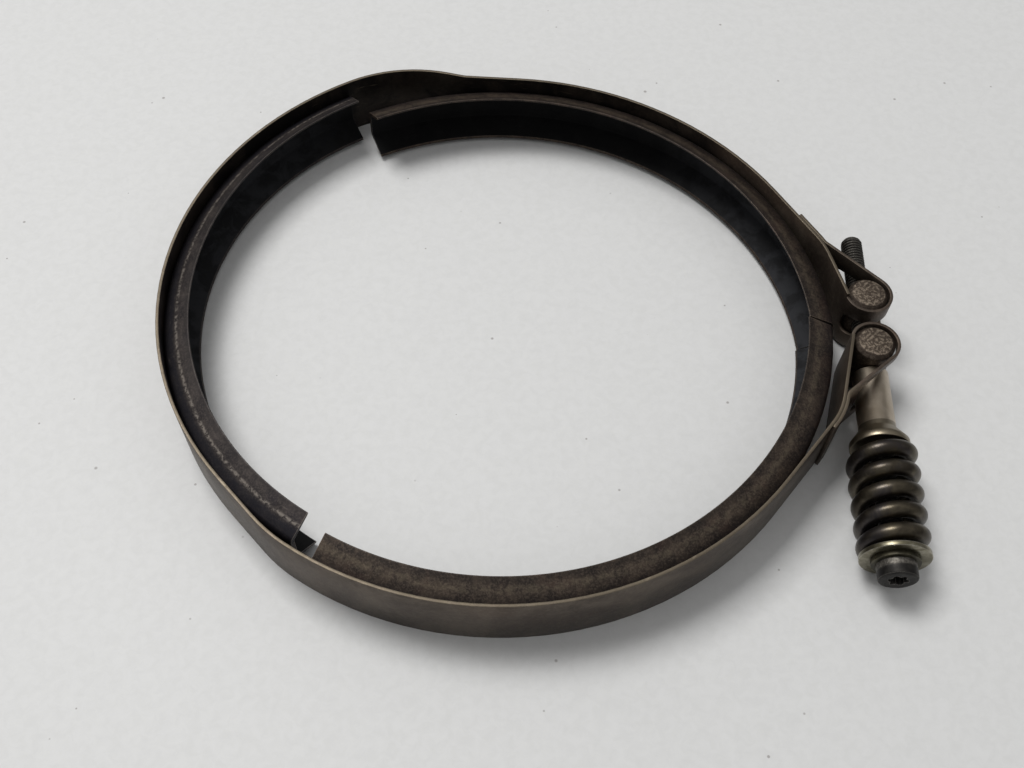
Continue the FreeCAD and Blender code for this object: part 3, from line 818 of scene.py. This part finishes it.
@dataclass
class Bolt:
    """The low-head screw with its thread and six-lobe recess.

    tip_rings are (from the tip, in from the thread) pairs. fillet is (from the seat, out
    from the shank) pairs, under_head (from the seat, in from the rim) pairs and crown
    (below the top, in from the rim) pairs. recess is (below the top, size) pairs.
    """

    line: BoltLine
    length: float = 137.5 * MM
    radius: float = 4.0 * MM
    pitch: float = 1.25 * MM
    thread_depth: float = 0.62 * MM
    thread_length: float = 62.0 * MM
    thread_start: float = 0.4 * MM
    thread_inset: float = 0.02 * MM
    thread_crest: float = 0.12
    thread_flank: float = 0.76
    steps_a_turn: int = 10
    run_in: float = 1.6 * MM
    run_out: float = 1.5 * MM
    tip_taper: float = 0.24
    tip_rings: tuple[tuple[float, float], ...] = ((0.0, 1.3 * MM), (0.2 * MM, 1.05 * MM))
    shank_inset: float = 0.03 * MM
    fillet: tuple[tuple[float, float], ...] = ((-0.35 * MM, 0.0), (0.0, 0.3 * MM))
    head_radius: float = 6.5 * MM
    head_height: float = 5.6 * MM
    under_head: tuple[tuple[float, float], ...] = ((0.0, 0.15 * MM), (0.15 * MM, 0.0))
    crown: tuple[tuple[float, float], ...] = (
        (0.75 * MM, 0.0), (0.3 * MM, 0.18 * MM), (0.0, 0.75 * MM), (0.0, 1.8 * MM))
    lobe_count: int = 6
    lobe_sharpness: float = 0.8
    socket_radius: float = 3.35 * MM
    socket_inner: float = 2.42 * MM
    recess: tuple[tuple[float, float], ...] = (
        (0.0, 1.06), (0.25 * MM, 1.0), (3.2 * MM, 0.97), (3.7 * MM, 0.35))
    sides: int = 48
    sharp: float = 40.0

    def around(self, x: float, radii: Sequence[float]) -> list[Vector]:
        """Return a ring of points round the axis.

        Args:
            x: the place along the axis.
            radii: the distance of each point from the axis.

        Returns:
            The ring's points.
        """
        turns = [math.tau * index / self.sides for index in range(self.sides)]
        return [self.line.place(x, radius * math.cos(turn), radius * math.sin(turn))
                for radius, turn in zip(radii, turns)]

    def ring(self, x: float, radius: float) -> list[Vector]:
        """Return a plain ring round the axis."""
        return self.around(x, [radius] * self.sides)

    def lobes(self, x: float, size: float) -> list[Vector]:
        """Return a ring in the shape of the recess.

        Args:
            x: the place along the axis.
            size: the recess's size there, 1 being its full size.

        Returns:
            The ring's points.
        """
        radii = []
        for index in range(self.sides):
            turn = math.tau * index / self.sides
            swing = (0.5 + 0.5 * math.cos(self.lobe_count * turn)) ** self.lobe_sharpness
            depth = self.socket_radius - self.socket_inner
            radii.append(size * (self.socket_inner + depth * swing))
        return self.around(x, radii)

    def thread_ring(self, x: float, share: float) -> list[Vector]:
        """Return a ring that follows the thread's helix.

        Args:
            x: the place along the axis.
            share: the thread's depth there, from 0 to 1.

        Returns:
            The ring's points.
        """
        radii = []
        for index in range(self.sides):
            phase = (x / self.pitch - index / self.sides) % 1.0
            ridge = abs(2.0 * phase - 1.0)
            dip = min(1.0, max(0.0, (ridge - self.thread_crest) / self.thread_flank))
            radii.append(self.radius - self.thread_inset - self.thread_depth * dip * share)
        return self.around(x, radii)

    def thread(self) -> list[list[Vector]]:
        """Shape the thread, from the tip to where it runs out.

        Returns:
            The thread's rings.
        """
        tip = -self.length
        first = tip + self.thread_start
        steps = int(self.thread_length / self.pitch * self.steps_a_turn)
        rings = []
        for index in range(steps + 1):
            x = first + self.thread_length * index / steps
            fade_in = min(1.0, (x - tip) / self.run_in)
            fade_out = min(1.0, (first + self.thread_length - x) / self.run_out)
            shrink = 1.0 - self.tip_taper * (1.0 - fade_in)
            middle = self.line.place(x, 0.0, 0.0)
            rings.append([middle + (point - middle) * shrink
                          for point in self.thread_ring(x, fade_out)])
        return rings

    def build(self, material: bpy.types.Material) -> bpy.types.Object:
        """Build the whole screw in one skin.

        Args:
            material: its finish.

        Returns:
            The new object.
        """
        shank = self.radius - self.shank_inset
        rim = self.head_radius
        top = self.head_height
        rings = [self.ring(x - self.length, self.radius - inset) for x, inset in self.tip_rings]
        rings += self.thread()
        rings += [self.ring(x, shank + out) for x, out in self.fillet]
        rings += [self.ring(x, rim - inset) for x, inset in self.under_head]
        rings += [self.ring(top - down, rim - inset) for down, inset in self.crown]
        rings += [self.lobes(top - down, size) for down, size in self.recess]
        thing = tube_mesh("bolt_screw", rings, self.sharp)
        thing.data.materials.append(material)
        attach(thing, "bolt")
        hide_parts("bolt")
        return thing


@dataclass
class Spring:
    """The heavy compression spring with closed and ground ends."""

    line: BoltLine
    outer_radius: float = 12.1 * MM
    wire: float = 5.7 * MM
    wire_inset: float = 0.01 * MM
    length: float = 39.9 * MM
    outer_end: float = -3.2 * MM
    pitch: float = 7.75 * MM
    end_pitch: float = 5.0 * MM
    first_rise: float = 1.0 * MM
    coil_gap: float = 0.15 * MM
    start_turns: float = 0.3
    start_angle: float = 252.0
    tangent_turns: float = 0.01
    steps: int = 56
    sides: int = 28
    sharp: float = 50.0

    def end_turns(self) -> float:
        """Return how far the closed end at the washers runs."""
        return (self.pitch - self.wire - self.coil_gap) / (self.pitch - self.end_pitch)

    def turns(self) -> float:
        """Count the turns that fill the spring's length.

        Returns:
            The number of turns.
        """
        closed = self.start_turns + self.end_turns()
        open_length = self.length - 2.0 * self.first_rise - closed * self.end_pitch
        return closed + open_length / self.pitch

    def rise(self, turn: float) -> float:
        """Follow the wire along the axis.

        Args:
            turn: how many turns along the wire.

        Returns:
            The distance of the wire's middle from the inner end.
        """
        first = min(turn, self.start_turns)
        last = max(0.0, turn - (self.turns() - self.end_turns()))
        return (self.first_rise + self.end_pitch * (first + last)
                + self.pitch * (turn - first - last))

    def middle(self, turn: float) -> Vector:
        """Follow the wire's middle.

        Args:
            turn: how many turns along the wire.

        Returns:
            Its place along, beside and above the axis.
        """
        angle = math.radians(self.start_angle + 360.0 * turn)
        mean = self.outer_radius - self.wire / 2.0
        return Vector((self.rise(turn), mean * math.cos(angle), mean * math.sin(angle)))

    def ring(self, turn: float) -> list[Vector]:
        """Return the wire's section, ground flat at both ends.

        Args:
            turn: how many turns along the wire.

        Returns:
            The section's points.
        """
        middle = self.middle(turn)
        ahead = self.middle(turn + self.tangent_turns) - self.middle(turn - self.tangent_turns)
        outward = Vector((0.0, middle.y, middle.z)).normalized()
        across = ahead.normalized().cross(outward).normalized()
        inner_end = self.outer_end - self.length
        reach = self.wire / 2.0 - self.wire_inset
        points = []
        for index in range(self.sides):
            angle = math.tau * index / self.sides
            point = middle + outward * reach * math.cos(angle) + across * reach * math.sin(angle)
            x = min(max(point.x, 0.0), self.length)
            points.append(self.line.place(inner_end + x, point.y, point.z))
        return points

    def build(self, material: bpy.types.Material) -> bpy.types.Object:
        """Build the coil.

        Args:
            material: its finish.

        Returns:
            The new object.
        """
        count = math.ceil(self.turns() * self.steps)
        rings = [self.ring(self.turns() * index / count) for index in range(count + 1)]
        thing = tube_mesh("spring_coil", rings, self.sharp)
        thing.data.materials.append(material)
        seat = self.line.place(self.outer_end - self.length, 0.0, 0.0)
        self.line.place(self.outer_end, 0.0, 0.0)
        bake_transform(thing)
        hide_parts("spring")
        return thing


@dataclass
class Retainer:
    """One V section segment, with rounded bends and rubbed lips."""

    node: str
    centre: tuple[float, float]
    start: float
    end: float
    lip_radius: float = 111.0 * MM
    depth: float = 10.3 * MM
    sheet: float = 1.6 * MM
    mouth: float = 22.4 * MM
    base: float = 12.4 * MM
    bend: float = 2.4 * MM
    lip_round: float = 0.3 * MM
    facets: int = 7
    step: float = 1.5
    sharp: float = 32.0

    def rounded(self, corners: Sequence[tuple[Vector, float]]) -> list[Vector]:
        """Round the corners of an outline.

        Args:
            corners: each corner and its radius.

        Returns:
            The outline's points.
        """
        points = []
        for index, (corner, radius) in enumerate(corners):
            before = (corners[index - 1][0] - corner).normalized()
            after = (corners[(index + 1) % len(corners)][0] - corner).normalized()
            half = before.angle(after) / 2.0
            middle = corner + (before + after).normalized() * radius / math.sin(half)
            start = corner + before * radius / math.tan(half) - middle
            finish = corner + after * radius / math.tan(half) - middle
            sweep = start.angle_signed(finish)
            for step in range(self.facets + 1):
                turned = start.copy()
                turned.rotate(Matrix.Rotation(-sweep * step / self.facets, 2))
                points.append(middle + turned)
        return points

    def section(self) -> list[Vector]:
        """Draw the V section with its rounded bends and lips.

        Returns:
            The outline as (radius, height) points.
        """
        slope = math.atan2((self.mouth - self.base) / 2.0, self.depth)
        base_radius = self.lip_radius + self.depth
        base_half = self.base / 2.0
        lip_half = self.mouth / 2.0
        inner_half = base_half + self.sheet * math.tan(slope) - self.sheet / math.cos(slope)
        lip_inner = Vector((self.lip_radius + self.sheet * math.sin(slope),
                            lip_half - self.sheet * math.cos(slope)))
        upper = [(Vector((base_radius, base_half)), self.bend),
                 (Vector((self.lip_radius, lip_half)), self.lip_round),
                 (lip_inner, self.lip_round),
                 (Vector((base_radius - self.sheet, inner_half)), self.bend - self.sheet)]
        lower = [(Vector((point.x, -point.y)), radius) for point, radius in reversed(upper)]
        return self.rounded(upper + lower)

    def build(self, skin: bpy.types.Material, soot_and_shade: bpy.types.Material) -> bpy.types.Object:
        """Build the segment.

        Args:
            skin: the finish outside.
            soot_and_shade: the finish inside the channel, sooty black with painted shade.

        Returns:
            The new object.
        """
        outline = self.section()
        count = int(abs(self.end - self.start) / self.step) + 1
        rings = []
        for index in range(count + 1):
            turn = math.radians(self.start + (self.end - self.start) * index / count)
            rings.append([Vector((self.centre[0] + point.x * math.cos(turn),
                                  self.centre[1] + point.x * math.sin(turn), point.y))
                          for point in outline])
        thing = tube_mesh(self.node + "_skin", rings, self.sharp)
        thing.data.materials.append(skin)
        thing.data.materials.append(soot_and_shade)
        # The channel's faces run from the upper lip's inner edge to the lower lip's, and take the
        # near-black finish of sooty black with painted shade.
        per_corner = self.facets + 1
        inside = range(3 * per_corner - 1, 5 * per_corner + 1)
        for face in thing.data.polygons:
            if len(face.vertices) == 4 and face.index % len(outline) in inside:
                face.material_index = 1
        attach(thing, "clamp")
        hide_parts(self.node)
        return thing


@dataclass
class Clamp:
    """The whole clamp: solids with their finishes, and the pieces that replace some."""

    frame: dict[str, Any]
    effects: EffectLibrary
    retainers: tuple[Retainer, ...] = (
        Retainer("retainer_front", (0.3 * MM, 2.0 * MM), -118.0, -3.7),
        Retainer("retainer_left", (-1.0 * MM, 6.0 * MM), 122.8, 239.0),
        Retainer("retainer_rear", (0.6 * MM, -8.0 * MM), 1.63, 118.6),
    )

    def line(self) -> BoltLine:
        """Return the bolt's axis as its joint gives it."""
        turn = next(joint for joint in self.frame["joints"] if joint["name"] == "bolt_turn")
        return BoltLine(Vector(turn["pos_m"]), Vector(turn["axis"]).normalized())

    def dress(self) -> list[bpy.types.Object]:
        """Finish the solids that show, and build the rest.

        Returns:
            The pieces that were dressed or built.
        """
        skins = {finish: finish.value.make(self.effects) for finish in Finish}
        nodes = self.frame["nodes"]
        plain = {"band": (Finish.BAND, 0.16 * MM),
                 "trunnion_threaded": (Finish.TRUNNION, 0.25 * MM),
                 "trunnion_plain": (Finish.TRUNNION, 0.25 * MM),
                 "spring_spacer": (Finish.SPACER, 0.25 * MM),
                 "large_washer": (Finish.LARGE_WASHER, 0.12 * MM),
                 "small_washer": (Finish.SMALL_WASHER, 0.12 * MM)}
        pieces = []
        for name, (finish, rounding) in plain.items():
            paint(nodes[name], skins[finish])
            soften(nodes[name], rounding)
            pieces.append(nodes[name])
        for retainer in self.retainers:
            left = retainer.node == "retainer_left"
            skin = skins[Finish.RETAINER_LEFT if left else Finish.RETAINER]
            pieces.append(retainer.build(skin, skins[Finish.CHANNEL]))
        pieces.append(Spring(self.line()).build(skins[Finish.SPRING]))
        pieces.append(Bolt(self.line()).build(skins[Finish.BOLT]))
        return pieces


# ---------------------------------------------------------------- the studio


@dataclass
class Studio:
    """Table, room light, one soft lamp and camera.

    The room's light goes from horizon_glow to top_glow at top_height, which is 1 straight
    up. Angles are in degrees, and the lens and the sensor's width in millimetres.
    """

    table_height: float
    table_size: float = 24.0
    room_colour: Colour = (1.0, 0.995, 0.99)
    horizon_glow: float = 0.10
    top_glow: float = 0.46
    top_height: float = 0.85
    lamp_place: tuple[float, float, float] = (-1.2, 1.1, 3.1)
    lamp_size: float = 1.45
    lamp_power: float = 86.0
    lamp_colour: Colour = (1.0, 0.99, 0.975)
    camera_place: tuple[float, float, float] = (0.00533, -0.2502, 0.3293)
    camera_elevation: float = 56.34
    camera_roll: float = 1.71
    lens: float = 39.13
    sensor_width: float = 36.0
    clip_start: float = 0.01
    clip_end: float = 20.0

    def table(self, effects: EffectLibrary) -> bpy.types.Object:
        """Build the table top.

        Args:
            effects: the shared effects.

        Returns:
            The table.
        """
        half = self.table_size / 2.0
        corners = [(-half, -half), (half, -half), (half, half), (-half, half)]
        mesh = bpy.data.meshes.new("table")
        mesh.from_pydata([(x, y, self.table_height) for x, y in corners], [], [(0, 1, 2, 3)])
        mesh.materials.append(TableFinish().make(effects))
        table = bpy.data.objects.new("table", mesh)
        bpy.context.scene.collection.objects.link(table)
        return table

    def glow(self) -> None:
        """Set the room's light, brighter overhead than at the horizon."""
        world = bpy.data.worlds.new("studio")
        world.use_nodes = True
        graph = Graph(world.node_tree)
        background = graph.tree.nodes["Background"]
        split = graph.add("ShaderNodeSeparateXYZ")
        graph.feed(graph.add("ShaderNodeTexCoord").outputs["Generated"], split.inputs[0])
        strength = graph.ramp(split.outputs["Z"], 0.0, self.top_height,
                              self.horizon_glow, self.top_glow)
        graph.feed(strength, background.inputs["Strength"])
        background.inputs["Color"].default_value = (*self.room_colour, 1.0)
        bpy.context.scene.world = world

    def lamp(self) -> None:
        """Hang the soft square lamp above and behind the clamp, aimed at it."""
        lamp = bpy.data.lights.new("key", "AREA")
        lamp.size = self.lamp_size
        lamp.energy = self.lamp_power
        lamp.color = self.lamp_colour
        thing = bpy.data.objects.new("key", lamp)
        thing.location = self.lamp_place
        thing.rotation_euler = (-thing.location).to_track_quat("-Z", "Y").to_euler()
        bpy.context.scene.collection.objects.link(thing)

    def camera(self) -> None:
        """Set up the camera that looks down on the clamp from the front."""
        elevation = math.radians(self.camera_elevation)
        roll = math.radians(self.camera_roll)
        forward = Vector((0.0, math.cos(elevation), -math.sin(elevation)))
        right = Vector((1.0, 0.0, 0.0))
        up = right.cross(forward)
        rolled_right = right * math.cos(roll) + up * math.sin(roll)
        rolled_up = up * math.cos(roll) - right * math.sin(roll)
        turn = Matrix((rolled_right, rolled_up, -forward)).transposed()
        lens = bpy.data.cameras.new("camera")
        lens.sensor_width = self.sensor_width
        lens.lens = self.lens
        lens.clip_start = self.clip_start
        lens.clip_end = self.clip_end
        camera = bpy.data.objects.new("camera", lens)
        camera.matrix_world = Matrix.Translation(Vector(self.camera_place)) @ turn.to_4x4()
        bpy.context.scene.collection.objects.link(camera)
        bpy.context.scene.camera = camera


def main() -> None:
    """Load the frame, dress the clamp and set up the studio."""
    logging.basicConfig(level=logging.INFO, format="%(message)s")
    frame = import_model()
    effects = EffectLibrary()
    for piece in Clamp(frame, effects).dress():
        LOG.info("piece %s: %d faces", piece.name, len(piece.data.polygons))
    studio = Studio(table_height=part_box("band")[0].z)
    studio.table(effects)
    studio.glow()
    studio.lamp()
    studio.camera()
    bpy.context.scene.view_settings.view_transform = "Standard"


if __name__ == "__main__":
    main()
